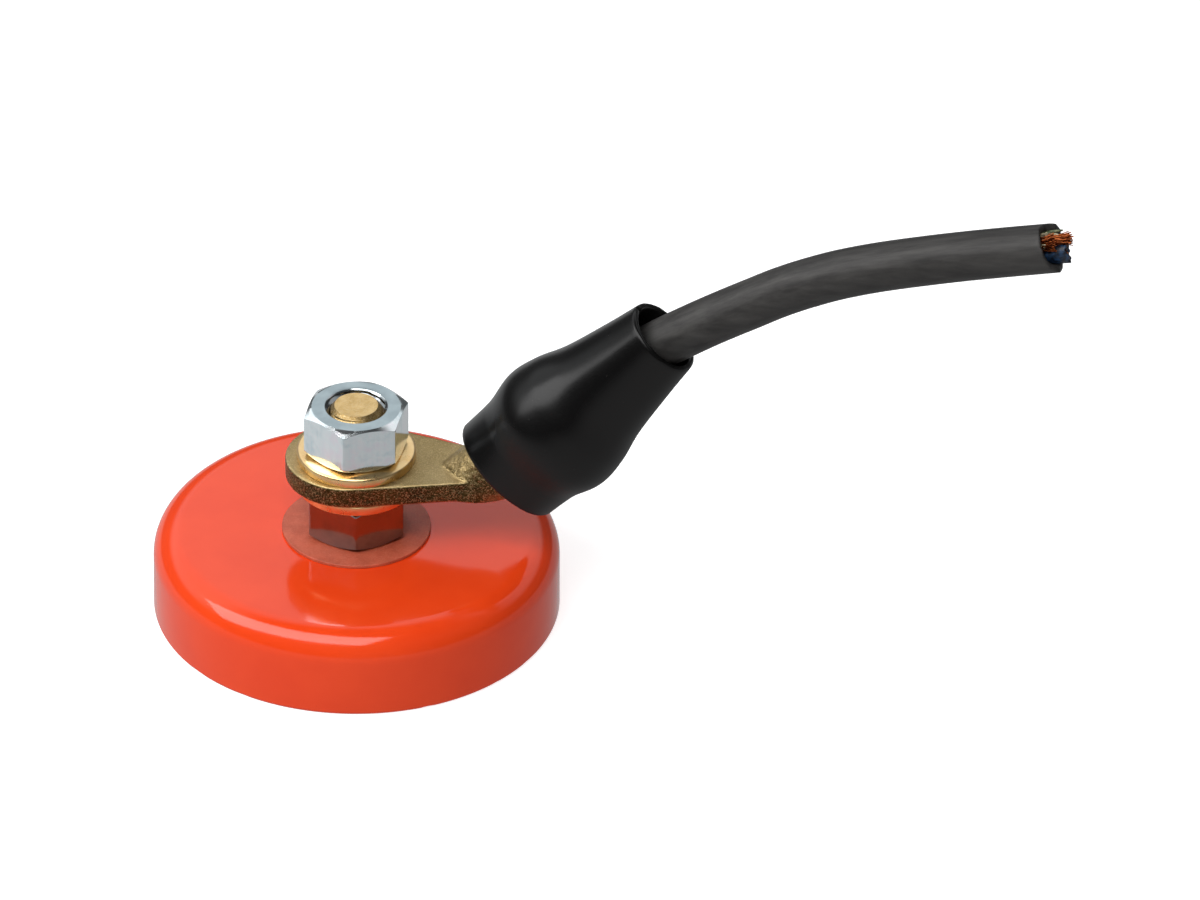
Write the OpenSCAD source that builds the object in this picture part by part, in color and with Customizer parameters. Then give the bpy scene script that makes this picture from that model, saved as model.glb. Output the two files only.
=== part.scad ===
// Magnetic ground clamp for welding: a painted pot magnet with a brass contact stud,
// a cast cable lug clamped between washers by a hex nut, a rubber boot and a cable stub.
// Origin at the centre of the contact face, +Z up along the stud, +X along the lug and cable.

/* [Pot] */
// Outside diameter of the steel cup
pot_d = 82; // [70:1:100]
// Height of the cup
pot_h = 18; // [16:0.5:24]
// Outer radius of the shoulder between the wall and the top
shoulder_r = 6; // [2:0.5:8]
// Inner radius between the wall and the top plate
inner_corner_r = 2; // [1:0.5:3]
// Thickness of the cup's wall
wall_t = 3; // [2:0.5:5]
// Thickness of the cup's top plate
top_t = 5; // [3:0.5:7]
// Diameter of the hole in the top plate
top_hole_d = 15; // [14:0.5:18]

/* [Magnet] */
// Outside diameter of the ferrite ring
magnet_d = 70; // [60:1:74]
// Diameter of the hole in the ferrite ring
magnet_bore_d = 32; // [31:0.5:40]
// How far the ferrite stands back from the contact face
magnet_recess = 0.5; // [0.2:0.1:1]
// How far the resin stands back from the contact face
resin_recess = 1; // [0.5:0.1:2]

/* [Stud and fasteners] */
// Diameter of the stud
stud_d = 12; // [12:0.5:12]
// Diameter of the stud's contact head
head_d = 24; // [20:0.5:28]
// Chamfer at the stud's top end
stud_chamfer = 1.3; // [0.5:0.1:1.5]
// How far the stud stands out of the upper nut
stud_proud = 0.3; // [0:0.1:2]
// Size of the nuts across their flats
nut_af = 19; // [19:0.5:19]
// Height of each nut
nut_h = 10; // [8:0.5:12]
// Diameter of the flat ring on each face of a nut
nut_face_d = 17.9; // [17:0.1:18.5]
// Slope of the chamfer on the nut's corners
nut_chamfer_angle = 30; // [15:1:30]
// Outside diameter of the plain washers
washer_d = 24; // [22:0.5:26]
// Thickness of the plain washers
washer_t = 2; // [1.5:0.1:3]
// Hole in the plain washers
washer_hole_d = 13; // [12.5:0.1:13.5]
// Radial gap between the stud and the pieces that run on it
running_gap = 0.05; // [0.02:0.01:0.1]

/* [Insulation] */
// Outside diameter of the two fibre washers
fibre_d = 30; // [24:1:31]
// Thickness of the fibre washer on the cup
fibre_outer_t = 0.7; // [0.5:0.1:2]
// Thickness of the fibre washer inside the cup
fibre_inner_t = 1; // [0.5:0.1:2]
// Radial gap between the stud and the fibre pieces
fibre_gap = 0.1; // [0.05:0.05:0.3]

/* [Cable lug] */
// Thickness of the lug's flat eye
lug_t = 4.6; // [4:0.1:6]
// Radius of the eye
eye_r = 12.6; // [12:0.1:15]
// How far the middle of the eye lies behind the stud
eye_shift = 1.7; // [0:0.1:2]
// Hole in the eye
lug_hole_d = 12.6; // [12.4:0.1:13]
// Half angle at which the eye narrows towards the neck
lug_taper = 14.5; // [10:0.5:20]
// Distance from the stud to the end of the flat plate
plate_end_x = 24.5; // [22:0.5:26]
// Distance from the stud to the blunt nose of the neck
nose_x = 18; // [17:0.1:20]
// Radius of the nose
nose_r = 1; // [0.5:0.1:1.5]
// Distance from the stud to where the barrel's axis meets the underside
barrel_x = 23.4; // [22:0.1:25]
// Angle at which the barrel rises
barrel_angle = 46.9; // [40:0.1:50]
// Outside radius of the barrel
barrel_r = 7; // [6.5:0.1:8]
// Length of the barrel along its axis, from the underside of the eye
barrel_len = 27.7; // [24:0.1:32]
// Radius of the barrel's bore
bore_r = 4; // [3.5:0.1:5]
// Depth of the barrel's bore
bore_depth = 17.5; // [15:0.5:20]
// Radius of the copper that the barrel holds
copper_r = 3; // [2:0.1:3.5]
// Radius of the two grub screws
screw_r = 3; // [2:0.5:3]
// Size of the grub screws' sockets across the flats
socket_af = 3; // [2:0.5:3]
// Depth of the grub screws' sockets
socket_depth = 2; // [1:0.5:3]

/* [Rubber boot] */
// Length of the boot
boot_len = 48; // [45:0.5:55]
// Distance from the stud to the middle of the boot's wide end
boot_x = 30.6; // [28:0.1:33]
// Height of the middle of the boot's wide end
boot_z = 34.9; // [33:0.1:38]
// Radius of the boot's collar
collar_r = 12.5; // [12:0.1:13]
// Radius of the boot's bulge
bulge_r = 14.4; // [13.5:0.1:15]
// Radius of the boot's narrow end
mouth_r = 8.3; // [8:0.05:9]
// Thickness of rubber at the wide end
collar_wall = 2.5; // [2:0.1:2.8]
// Thickness of rubber at the narrow end
mouth_wall = 1.35; // [1:0.05:1.8]

/* [Cable] */
// Diameter of the cable
cable_d = 10; // [9:0.1:10.5]
// Diameter of each insulated core
core_d = 3.4; // [3:0.1:3.6]
// Diameter of the bunched copper in each core
strand_d = 2; // [1.5:0.1:2.4]
// Distance of each core from the cable's centre
core_offset = 2.3; // [2.2:0.1:2.6]
// Diameter of the filler cord
filler_d = 1; // [0.6:0.1:1.1]

/* [Hidden] */
$fn = 96;
hull_fn = 32;
cut = 0.01; // how far a cutting solid passes a face

// Radii and the heights at which the pieces stack along the stud
pot_r = pot_d / 2;
stud_r = stud_d / 2;
head_r = head_d / 2;
cup_inner_r = pot_r - wall_t;
cup_inner_h = pot_h - top_t;
head_h = cup_inner_h - fibre_inner_t;
lower_nut_z = pot_h + fibre_outer_t;
lower_washer_z = lower_nut_z + nut_h;
lug_z = lower_washer_z + washer_t;
lug_top_z = lug_z + lug_t;
upper_nut_z = lug_top_z + washer_t;
stud_top_z = upper_nut_z + nut_h + stud_proud;

// Nuts
nut_corner_r = nut_af / 2 / cos(30);
nut_face_r = nut_face_d / 2;
nut_chamfer_h = (nut_corner_r - nut_face_r) * tan(nut_chamfer_angle);
nut_mouth = 0.3; // countersink at each end of the thread
upper_nut_turn = 26.7; // how far the upper nut is turned, as tightened
lower_nut_turn = 37.8; // how far the lower nut is turned, as tightened

// Lug: the sides of the plate leave the eye as tangents
tangent_x = eye_r * sin(lug_taper) - eye_shift;
tangent_y = eye_r * cos(lug_taper);
plate_end_y = tangent_y - (plate_end_x - tangent_x) * tan(lug_taper);
neck_ring = 3.2; // distance along the barrel to the ring that the nose blends into
bore_start = barrel_len - bore_depth;
jacket_gap = 2.5; // from the barrel's mouth to the end of the cable's jacket
copper_inside = 1.5; // how far that copper reaches into the jacket
screw_places = [14, 22.5]; // along the barrel

// Boot: [distance from the wide end, outer radius]
boot_edge = 0.6;
boot_knots = [
    [0, collar_r - boot_edge], [boot_edge, collar_r - 0.1], [6, collar_r + 0.2], [9, collar_r + 0.5],
    [15, bulge_r], [21, bulge_r - 0.8], [28, bulge_r - 2.6], [38, mouth_r + 1.7], [boot_len, mouth_r]
];
boot_steps = 4; // points on each stretch between two knots

// Route of the cable in the XZ plane, [x, z]
route = [
    [44, 52.7], [50, 58.6], [56, 63.8], [62, 68.2], [68, 72.2], [74, 75.9], [80, 79.4], [86, 82.8],
    [92, 85.7], [98, 88.1], [105, 90.3], [113, 92.4], [121, 94.3], [129, 96], [135, 97.2], [141, 98.4]
];
cable_r = cable_d / 2;
cable_sides = 12;
route_end = route[len(route) - 1];
route_end_angle = heading(route[len(route) - 2], route_end);

// Cut end of the cable: how far each core stands out, and where it sits round the cable
core_out = 4;
strands_out = 0.9;
filler_out = 3;
core_turns = [90, 210, 330];

// Angle of the way from one point to the next
function heading(a, b) = atan2(b[1] - a[1], b[0] - a[0]);

// Angle of a route at its point i
function route_angle(p, i) =
    i == 0 ? heading(p[0], p[1])
    : i == len(p) - 1 ? heading(p[i - 1], p[i])
    : heading(p[i - 1], p[i + 1]);

// Catmull-Rom curve through four points
function curve_point(a, b, c, d, t) =
    0.5 * (2 * b + (c - a) * t + (2 * a - 5 * b + 4 * c - d) * t * t
        + (3 * b - a - 3 * c + d) * t * t * t);

// Smooth line through a list of points
function smooth_line(p, steps) =
    let (last = len(p) - 1)
    concat(
        [for (i = [0 : last - 1]) for (s = [0 : steps - 1])
            curve_point(p[max(i - 1, 0)], p[i], p[i + 1], p[min(i + 2, last)], s / steps)],
        [p[last]]
    );

// Outline of the boot's inside: the outside less a wall that thins towards the mouth
function inside_of(outline) = [
    for (q = outline) [q[0], q[1] - collar_wall + (collar_wall - mouth_wall) * q[0] / boot_len]
];

function reversed(p) = [for (i = [len(p) - 1 : -1 : 0]) p[i]];

// Point on the barrel's axis
module on_barrel(along) {
    translate([barrel_x, 0, lug_z])
        rotate([0, 90 - barrel_angle, 0])
            translate([0, 0, along])
                children();
}

// Place at the cable's cut end, local +Z along the cable and local -X upwards
module on_cable_end() {
    translate([route_end[0], 0, route_end[1]])
        rotate([0, 90 - route_end_angle, 0])
            children();
}

// Flat ring
module ring(outer_r, inner_r, height) {
    difference() {
        cylinder(r = outer_r, h = height);
        translate([0, 0, -cut])
            cylinder(r = inner_r, h = height + 2 * cut);
    }
}

// Half outline of a cup: a rectangle with its upper outer corner rounded
module cup_outline(r, h, corner) {
    square([r - corner, h]);
    square([r, h - corner]);
    translate([r - corner, h - corner])
        circle(r = corner);
}

// Hex nut, its bottom face at z = 0
module hex_nut() {
    hole_r = stud_r + running_gap;
    difference() {
        intersection() {
            cylinder(r = nut_corner_r, h = nut_h, $fn = 6);
            rotate_extrude()
                polygon([
                    [0, 0], [nut_face_r, 0], [nut_corner_r, nut_chamfer_h],
                    [nut_corner_r, nut_h - nut_chamfer_h], [nut_face_r, nut_h], [0, nut_h]
                ]);
        }
        translate([0, 0, -cut])
            cylinder(r = hole_r, h = nut_h + 2 * cut);
        translate([0, 0, -cut])
            cylinder(r1 = hole_r + nut_mouth + cut, r2 = hole_r, h = nut_mouth + cut);
        translate([0, 0, nut_h - nut_mouth])
            cylinder(r1 = hole_r, r2 = hole_r + nut_mouth + cut, h = nut_mouth + cut);
    }
}

// Tube of radius r along a route in the XZ plane, closed at both ends
module swept_tube(p, r, sides) {
    points = [
        for (i = [0 : len(p) - 1])
            let (a = route_angle(p, i))
            for (k = [0 : sides - 1])
                let (w = 360 * k / sides, up = r * cos(w))
                [p[i][0] - up * sin(a), r * sin(w), p[i][1] + up * cos(a)]
    ];
    first = [for (k = [0 : sides - 1]) sides - 1 - k];
    last = [for (k = [0 : sides - 1]) (len(p) - 1) * sides + k];
    skin = [
        for (i = [0 : len(p) - 2]) for (k = [0 : sides - 1])
            let (n = (k + 1) % sides)
            [i * sides + k, i * sides + n, (i + 1) * sides + n, (i + 1) * sides + k]
    ];
    polyhedron(points = points, faces = concat([first, last], skin), convexity = 4);
}

// One insulated core standing out of the cable's end, without its copper
module core(turn) {
    on_cable_end()
        rotate([0, 0, turn])
            translate([core_offset, 0, 0])
                ring(core_d / 2, strand_d / 2, core_out);
}

module pot_shell() {
    color("orangered")
        difference() {
            rotate_extrude()
                cup_outline(pot_r, pot_h, shoulder_r);
            translate([0, 0, -cut])
                rotate_extrude()
                    cup_outline(cup_inner_r, cup_inner_h + cut, inner_corner_r);
            translate([0, 0, cup_inner_h - cut])
                cylinder(r = top_hole_d / 2, h = top_t + 2 * cut);
        }
}

module ring_magnet() {
    color([0.16, 0.16, 0.17])
        translate([0, 0, magnet_recess])
            ring(magnet_d / 2, magnet_bore_d / 2, cup_inner_h - magnet_recess);
}

module resin_outer_ring() {
    color([0.3, 0.24, 0.16])
        translate([0, 0, resin_recess])
            ring(cup_inner_r, magnet_d / 2, cup_inner_h - inner_corner_r - resin_recess);
}

module resin_inner_ring() {
    color([0.3, 0.24, 0.16])
        translate([0, 0, resin_recess])
            ring(magnet_bore_d / 2, head_r, head_h - resin_recess);
}

module contact_stud() {
    color([0.79, 0.62, 0.33])
        rotate_extrude()
            polygon([
                [0, 0], [head_r, 0], [head_r, head_h], [stud_r, head_h],
                [stud_r, stud_top_z - stud_chamfer], [stud_r - stud_chamfer, stud_top_z],
                [0, stud_top_z]
            ]);
}

module inner_fibre_washer() {
    color([0.63, 0.25, 0.16])
        translate([0, 0, head_h])
            ring(fibre_d / 2, stud_r + fibre_gap, fibre_inner_t);
}

module insulating_sleeve() {
    color([0.85, 0.83, 0.76])
        translate([0, 0, cup_inner_h])
            ring(top_hole_d / 2, stud_r + fibre_gap, top_t);
}

module outer_fibre_washer() {
    color([0.63, 0.25, 0.16])
        translate([0, 0, pot_h])
            ring(fibre_d / 2, stud_r + fibre_gap, fibre_outer_t);
}

module lower_nut() {
    color([0.74, 0.77, 0.78])
        translate([0, 0, lower_nut_z])
            rotate([0, 0, lower_nut_turn])
                hex_nut();
}

module lower_washer() {
    color([0.78, 0.65, 0.36])
        translate([0, 0, lower_washer_z])
            ring(washer_d / 2, washer_hole_d / 2, washer_t);
}

// Outline of the lug's flat plate: the eye and its narrowing neck
module plate_outline() {
    translate([-eye_shift, 0])
        circle(r = eye_r);
    polygon([
        [tangent_x, tangent_y], [plate_end_x, plate_end_y],
        [plate_end_x, -plate_end_y], [tangent_x, -tangent_y]
    ]);
}

module cable_lug() {
    color([0.70, 0.58, 0.36])
        difference() {
            union() {
                translate([0, 0, lug_z])
                    linear_extrude(height = lug_t)
                        plate_outline();
                on_barrel(-barrel_r)
                    cylinder(r = barrel_r, h = barrel_len + barrel_r);
                hull() {
                    translate([nose_x, 0, lug_top_z - nose_r])
                        sphere(r = nose_r, $fn = hull_fn);
                    on_barrel(neck_ring)
                        cylinder(r = barrel_r, h = 1, $fn = hull_fn);
                }
            }
            translate([0, 0, lug_z - barrel_r * 2])
                linear_extrude(height = barrel_r * 2)
                    square(4 * plate_end_x, center = true);
            translate([0, 0, lug_z - cut])
                cylinder(r = lug_hole_d / 2, h = lug_t + 2 * cut);
            on_barrel(bore_start)
                cylinder(r = bore_r, h = bore_depth + cut);
            for (along = screw_places)
                on_barrel(along)
                    rotate([0, -90, 0])
                        cylinder(r = screw_r, h = barrel_r + cut);
        }
}

module conductor_end() {
    color([0.72, 0.41, 0.25])
        on_barrel(bore_start)
            cylinder(r = copper_r, h = bore_depth + jacket_gap + copper_inside);
}

module clamp_screws() {
    screw_len = barrel_r - copper_r - 0.2;
    color([0.5, 0.5, 0.52])
        for (along = screw_places)
            on_barrel(along)
                rotate([0, -90, 0])
                    translate([0, 0, copper_r])
                        difference() {
                            cylinder(r = screw_r - running_gap, h = screw_len);
                            translate([0, 0, screw_len - socket_depth])
                                cylinder(r = socket_af / 2 / cos(30), h = socket_depth + cut, $fn = 6);
                        }
}

module rubber_boot() {
    outside = smooth_line(boot_knots, boot_steps);
    wall = concat(outside, reversed(inside_of(outside)));
    color([0.1, 0.1, 0.1])
        translate([boot_x, 0, boot_z])
            rotate([0, 90 - barrel_angle, 0])
                rotate_extrude()
                    polygon([for (q = wall) [q[1], q[0]]]);
}

module cable_jacket() {
    color([0.2, 0.2, 0.2])
        swept_tube(route, cable_r, cable_sides);
}

module core_blue() {
    color([0.1, 0.25, 0.55])
        core(core_turns[0]);
}

module core_brown() {
    color([0.42, 0.22, 0.12])
        core(core_turns[1]);
}

module core_earth() {
    color([0.5, 0.6, 0.15])
        core(core_turns[2]);
}

module core_strands() {
    color([0.76, 0.38, 0.2])
        on_cable_end()
            for (turn = core_turns)
                rotate([0, 0, turn])
                    translate([core_offset, 0, 0])
                        cylinder(r = strand_d / 2, h = core_out + strands_out);
}

module filler_cord() {
    color([0.8, 0.75, 0.6])
        on_cable_end()
            cylinder(r = filler_d / 2, h = filler_out);
}

module upper_washer() {
    color([0.8, 0.68, 0.38])
        translate([0, 0, lug_top_z])
            ring(washer_d / 2, washer_hole_d / 2, washer_t);
}

module upper_nut() {
    color([0.78, 0.81, 0.83])
        translate([0, 0, upper_nut_z])
            rotate([0, 0, upper_nut_turn])
                hex_nut();
}

pot_shell();
ring_magnet();
resin_outer_ring();
resin_inner_ring();
contact_stud();
inner_fibre_washer();
insulating_sleeve();
outer_fibre_washer();
lower_nut();
lower_washer();
cable_lug();
conductor_end();
clamp_screws();
rubber_boot();
cable_jacket();
core_blue();
core_brown();
core_earth();
core_strands();
filler_cord();
upper_washer();
upper_nut();
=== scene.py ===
"""Magnetic ground clamp for welding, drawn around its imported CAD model.

Shapes are worked out in millimetres in the row frame and scaled to metres as each mesh is made.
"""

import math
import random

import bmesh
import bpy
from mathutils import Euler, Matrix, Vector, noise


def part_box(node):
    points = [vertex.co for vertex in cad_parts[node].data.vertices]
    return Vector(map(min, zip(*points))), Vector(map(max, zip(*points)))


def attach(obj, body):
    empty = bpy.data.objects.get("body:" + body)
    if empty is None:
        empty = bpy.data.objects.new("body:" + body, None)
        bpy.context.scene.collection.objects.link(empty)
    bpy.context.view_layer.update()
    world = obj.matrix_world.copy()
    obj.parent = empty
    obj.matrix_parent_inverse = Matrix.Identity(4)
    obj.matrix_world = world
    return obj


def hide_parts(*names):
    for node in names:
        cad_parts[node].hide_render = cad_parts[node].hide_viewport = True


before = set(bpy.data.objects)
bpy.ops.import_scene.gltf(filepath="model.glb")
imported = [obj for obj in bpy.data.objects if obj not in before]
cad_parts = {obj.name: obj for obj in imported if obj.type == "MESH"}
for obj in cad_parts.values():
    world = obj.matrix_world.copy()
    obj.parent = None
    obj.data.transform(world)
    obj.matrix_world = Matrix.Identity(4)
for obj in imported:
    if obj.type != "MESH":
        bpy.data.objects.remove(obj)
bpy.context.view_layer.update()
random.seed(7)

MM = 0.001
TAU = 2 * math.pi
GOLDEN_ANGLE = 2.39996

# ---- sizes, in mm ----


def span(node):
    """Lowest and highest corner of a CAD node, in mm."""
    low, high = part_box(node)
    return low / MM, high / MM


POT_R = span("pot_shell")[1].x
POT_H = span("pot_shell")[1].z
SHOULDER_R = 6.0
WALL_T = 3.0
TOP_T = POT_H - span("ring_magnet")[1].z
TOP_HOLE_R = span("insulating_sleeve")[1].x
MAGNET_R = span("ring_magnet")[1].x
MAGNET_BORE_R = span("resin_inner_ring")[1].x
MAGNET_Z = span("ring_magnet")[0].z
RESIN_Z = span("resin_outer_ring")[0].z

STUD_R = 6.0
HEAD_R = span("contact_stud")[1].x
HEAD_H = span("inner_fibre_washer")[0].z
STUD_TOP = span("contact_stud")[1].z
PITCH = 1.75
THREAD_DEPTH = 0.95
THREAD_GAP = 0.06
STUD_END_CHAMFER = 1.6
STUD_END_SLOPE = 0.8

NUT_AF = 19.0
NUT_FACE_R = 8.95
NUT_CHAMFER = math.tan(math.radians(30))
NUT_CORNER_ROUND = 0.35
NUT_MOUTH_R = 6.35
NUT_MOUTH_SLOPE = 1.2
UPPER_NUT_TURN = math.radians(24.0)
LOWER_NUT_TURN = math.radians(37.8)

WASHER_R = span("upper_washer")[1].x
WASHER_HOLE_R = 6.5
FIBRE_R = span("outer_fibre_washer")[1].x

LUG_LOW = span("cable_lug")[0].z
LUG_T = span("upper_washer")[0].z - LUG_LOW
EYE_R = span("cable_lug")[1].y
EYE_X = span("cable_lug")[0].x + EYE_R
LUG_HOLE_R = 6.3
LUG_TAPER = math.radians(14.5)
PLATE_END_X = 24.5
NOSE_X = 17.3
NOSE_HALF = 0.7
BARREL_X = 23.4
BARREL_ANGLE = math.radians(46.9)
BARREL_ALONG = Vector((math.cos(BARREL_ANGLE), 0, math.sin(BARREL_ANGLE)))
BARREL_R = 7.0
BARREL_LEN = 27.7
BORE_R = 4.0
BORE_DEPTH = 17.5
SCREW_HOLE_R = 3.02
SCREW_PLACES = (14, 22.5)

BOOT_FOOT = Vector((30.6, 0, 34.9))
BOOT_LEN = 47.3
COLLAR_R = 12.5
BULGE_R = 14.4
MOUTH_R = 8.3
COLLAR_WALL = 2.5
MOUTH_WALL = 1.35
# The nick in the mouth's edge, and how far the mouth leans back
NICK_ANGLE = 2.9
NICK_DEPTH = 0.55
BOOT_BEND = 0.7

CABLE_R = 5.0
# The cable's centreline in the XZ plane, through the same points as the CAD tube
ROUTE = [
    (44, 52.7), (50, 58.6), (56, 63.8), (62, 68.2), (68, 72.2), (74, 75.9), (80, 79.4), (86, 82.8),
    (92, 85.7), (98, 88.1), (105, 90.3), (113, 92.4), (121, 94.3), (129, 96), (135, 97.2), (141, 98.4),
]
WIRE_R = 0.11
THREAD_R = 0.10
# Where the cores and threads start, counted from the cut
END_ROOT = -3
# The knife's cut at the end: its depth, the angle of its deepest place, and its half widths to either side
CUT_DEPTH = 2.8
CUT_ANGLE = -0.15
CUT_HALF_FAR = 1.0
CUT_HALF_NEAR = 2.3

# ---- camera ----

CAMERA_AZIMUTH = math.radians(7.8)
CAMERA_ELEVATION = math.radians(33.56)
CAMERA_ROLL = math.radians(0.23)
CAMERA_DISTANCE = 5.288
VIEW_WIDTH = 0.2422
# How far the middle of the picture lies right of and above the origin, as the camera sees it
VIEW_RIGHT = 0.0490
VIEW_UP = 0.0308
SENSOR = 36.0


def add_camera():
    """Camera at the photograph's viewing angle."""
    turn = Euler((math.pi / 2 - CAMERA_ELEVATION, 0, CAMERA_AZIMUTH)).to_matrix()
    right, up, back = (turn @ Vector(a) for a in ((1, 0, 0), (0, 1, 0), (0, 0, 1)))
    data = bpy.data.cameras.new("camera")
    data.sensor_width = SENSOR
    data.lens = SENSOR * CAMERA_DISTANCE / VIEW_WIDTH
    data.clip_end = 50
    camera = bpy.data.objects.new("camera", data)
    camera.matrix_world = (
        Matrix.Translation(back * CAMERA_DISTANCE + right * VIEW_RIGHT + up * VIEW_UP)
        @ turn.to_4x4()
        @ Matrix.Rotation(CAMERA_ROLL, 4, "Z")
    )
    bpy.context.scene.collection.objects.link(camera)
    bpy.context.scene.camera = camera


add_camera()

# ---- mesh helpers ----


def mesh_object(name, points, faces, sharp=35):
    """A smooth-shaded mesh from points in mm, with edges sharper than that angle kept sharp."""
    mesh = bpy.data.meshes.new(name)
    mesh.from_pydata([Vector(p) * MM for p in points], [], faces)
    piece = bpy.data.objects.new(name, mesh)
    bpy.context.scene.collection.objects.link(piece)
    finish_mesh(mesh, sharp)
    return piece


def finish_mesh(mesh, sharp):
    """Makes the faces point outwards and sets the shading."""
    work = bmesh.new()
    work.from_mesh(mesh)
    bmesh.ops.recalc_face_normals(work, faces=work.faces)
    work.to_mesh(mesh)
    work.free()
    mesh.shade_smooth()
    mesh.set_sharp_from_angle(angle=math.radians(sharp))


def skin(rings, loop=False):
    """Points and faces of a surface through rings of equally many points.

    A loop joins its last ring to its first. Otherwise a fan closes each end.
    """
    count = len(rings[0])
    points = [p for ring in rings for p in ring]
    faces = []
    for i in range(len(rings) if loop else len(rings) - 1):
        a, b = i * count, (i + 1) % len(rings) * count
        faces += [(a + k, a + (k + 1) % count, b + (k + 1) % count, b + k) for k in range(count)]
    if not loop:
        for first in (0, (len(rings) - 1) * count):
            ring = points[first : first + count]
            points.append(sum((Vector(p) for p in ring), Vector()) / count)
            faces += [(first + k, first + (k + 1) % count, len(points) - 1) for k in range(count)]
    return points, faces


def circle(count):
    """Angles evenly spaced round a circle."""
    return [TAU * k / count for k in range(count)]


def lathe_rings(outline, count, radius=None):
    """Rings of a solid of revolution about Z from its half outline of (radius, height)."""
    shape = radius or (lambda r, z, a: r)
    return [
        [(shape(r, z, a) * math.cos(a), shape(r, z, a) * math.sin(a), z) for a in circle(count)]
        for r, z in outline
    ]


def lathe(outline, count, radius=None):
    """Points and faces of a ring-shaped solid of revolution."""
    return skin(lathe_rings(outline, count, radius), loop=True)


def fillet(corners, closed=True, steps=6):
    """An outline with its corners rounded. A corner is (x, y) or (x, y, radius)."""
    out = []
    count = len(corners)
    for i, corner in enumerate(corners):
        here = Vector(corner[:2])
        radius = corner[2] if len(corner) > 2 else 0
        if not radius or (not closed and i in (0, count - 1)):
            out.append(tuple(here))
            continue
        before = (Vector(corners[i - 1][:2]) - here).normalized()
        after = (Vector(corners[(i + 1) % count][:2]) - here).normalized()
        half = before.angle(after) / 2
        reach = radius / math.tan(half)
        middle = here + (before + after).normalized() * radius / math.sin(half)
        start = here + before * reach - middle
        end = here + after * reach - middle
        sweep = start.angle_signed(end)
        for s in range(steps + 1):
            turn = -sweep * s / steps
            out.append(tuple(middle + Matrix.Rotation(turn, 2) @ start))
    return out


def smooth_line(points, steps):
    """Catmull-Rom line through points of any dimension."""
    pts = [Vector(p) for p in points]
    last = len(pts) - 1
    out = []
    for i in range(last):
        a, b, c, d = pts[max(i - 1, 0)], pts[i], pts[i + 1], pts[min(i + 2, last)]
        for s in range(steps):
            t = s / steps
            squared, cubed = 2 * a - 5 * b + 4 * c - d, 3 * b - a - 3 * c + d
            out.append(0.5 * (2 * b + (c - a) * t + squared * t * t + cubed * t ** 3))
    return out + [pts[last]]


def ruffle(a, size, seed):
    """Uneven amount round a circle."""
    return noise.noise(Vector((math.cos(a) * size, math.sin(a) * size, seed)))


def tangent(line, i):
    """Direction of a line of points at its point i."""
    return (line[min(i + 1, len(line) - 1)] - line[max(i - 1, 0)]).normalized()


def sweep(line, radius, count):
    """Rings round a line of points. radius is a number or a function of the ring's number and the angle."""
    side = Vector((0, 1, 0))
    shape = radius if callable(radius) else (lambda i, a: radius)
    rings = []
    for i, p in enumerate(line):
        along = tangent(line, i)
        up = along.cross(side).normalized()
        across = up.cross(along)
        rings.append([p + (up * math.cos(a) + across * math.sin(a)) * shape(i, a) for a in circle(count)])
    return rings


def join(pieces):
    """One list of points and one of faces from several of each."""
    points, faces = [], []
    for more_points, more_faces in pieces:
        start = len(points)
        points += [Vector(p) for p in more_points]
        faces += [tuple(start + k for k in face) for face in more_faces]
    return points, faces


def place(points, matrix):
    """The points carried by a matrix."""
    return [matrix @ Vector(p) for p in points]


def along_frame(origin, direction):
    """Matrix from a local frame, +Z along direction and +Y kept, to the row frame."""
    z = Vector(direction).normalized()
    y = Vector((0, 1, 0))
    x = y.cross(z)
    return Matrix.Translation(origin) @ Matrix((x, y, z)).transposed().to_4x4()


def wear(piece, material):
    """Gives the piece that one material."""
    piece.data.materials.clear()
    piece.data.materials.append(material)


def stands_for(piece, material, body, slot, node):
    """The piece wears a material, rides on a body and stands for a CAD node."""
    wear(piece, material)
    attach(piece, body)
    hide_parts(node)
    return piece


def add_piece(name, skinned, *role, sharp=35):
    """A piece from its points and faces, with its role: material, body, slot (not used) and CAD node."""
    return stands_for(mesh_object(name, *skinned, sharp), *role)


# ---- materials ----


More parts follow.
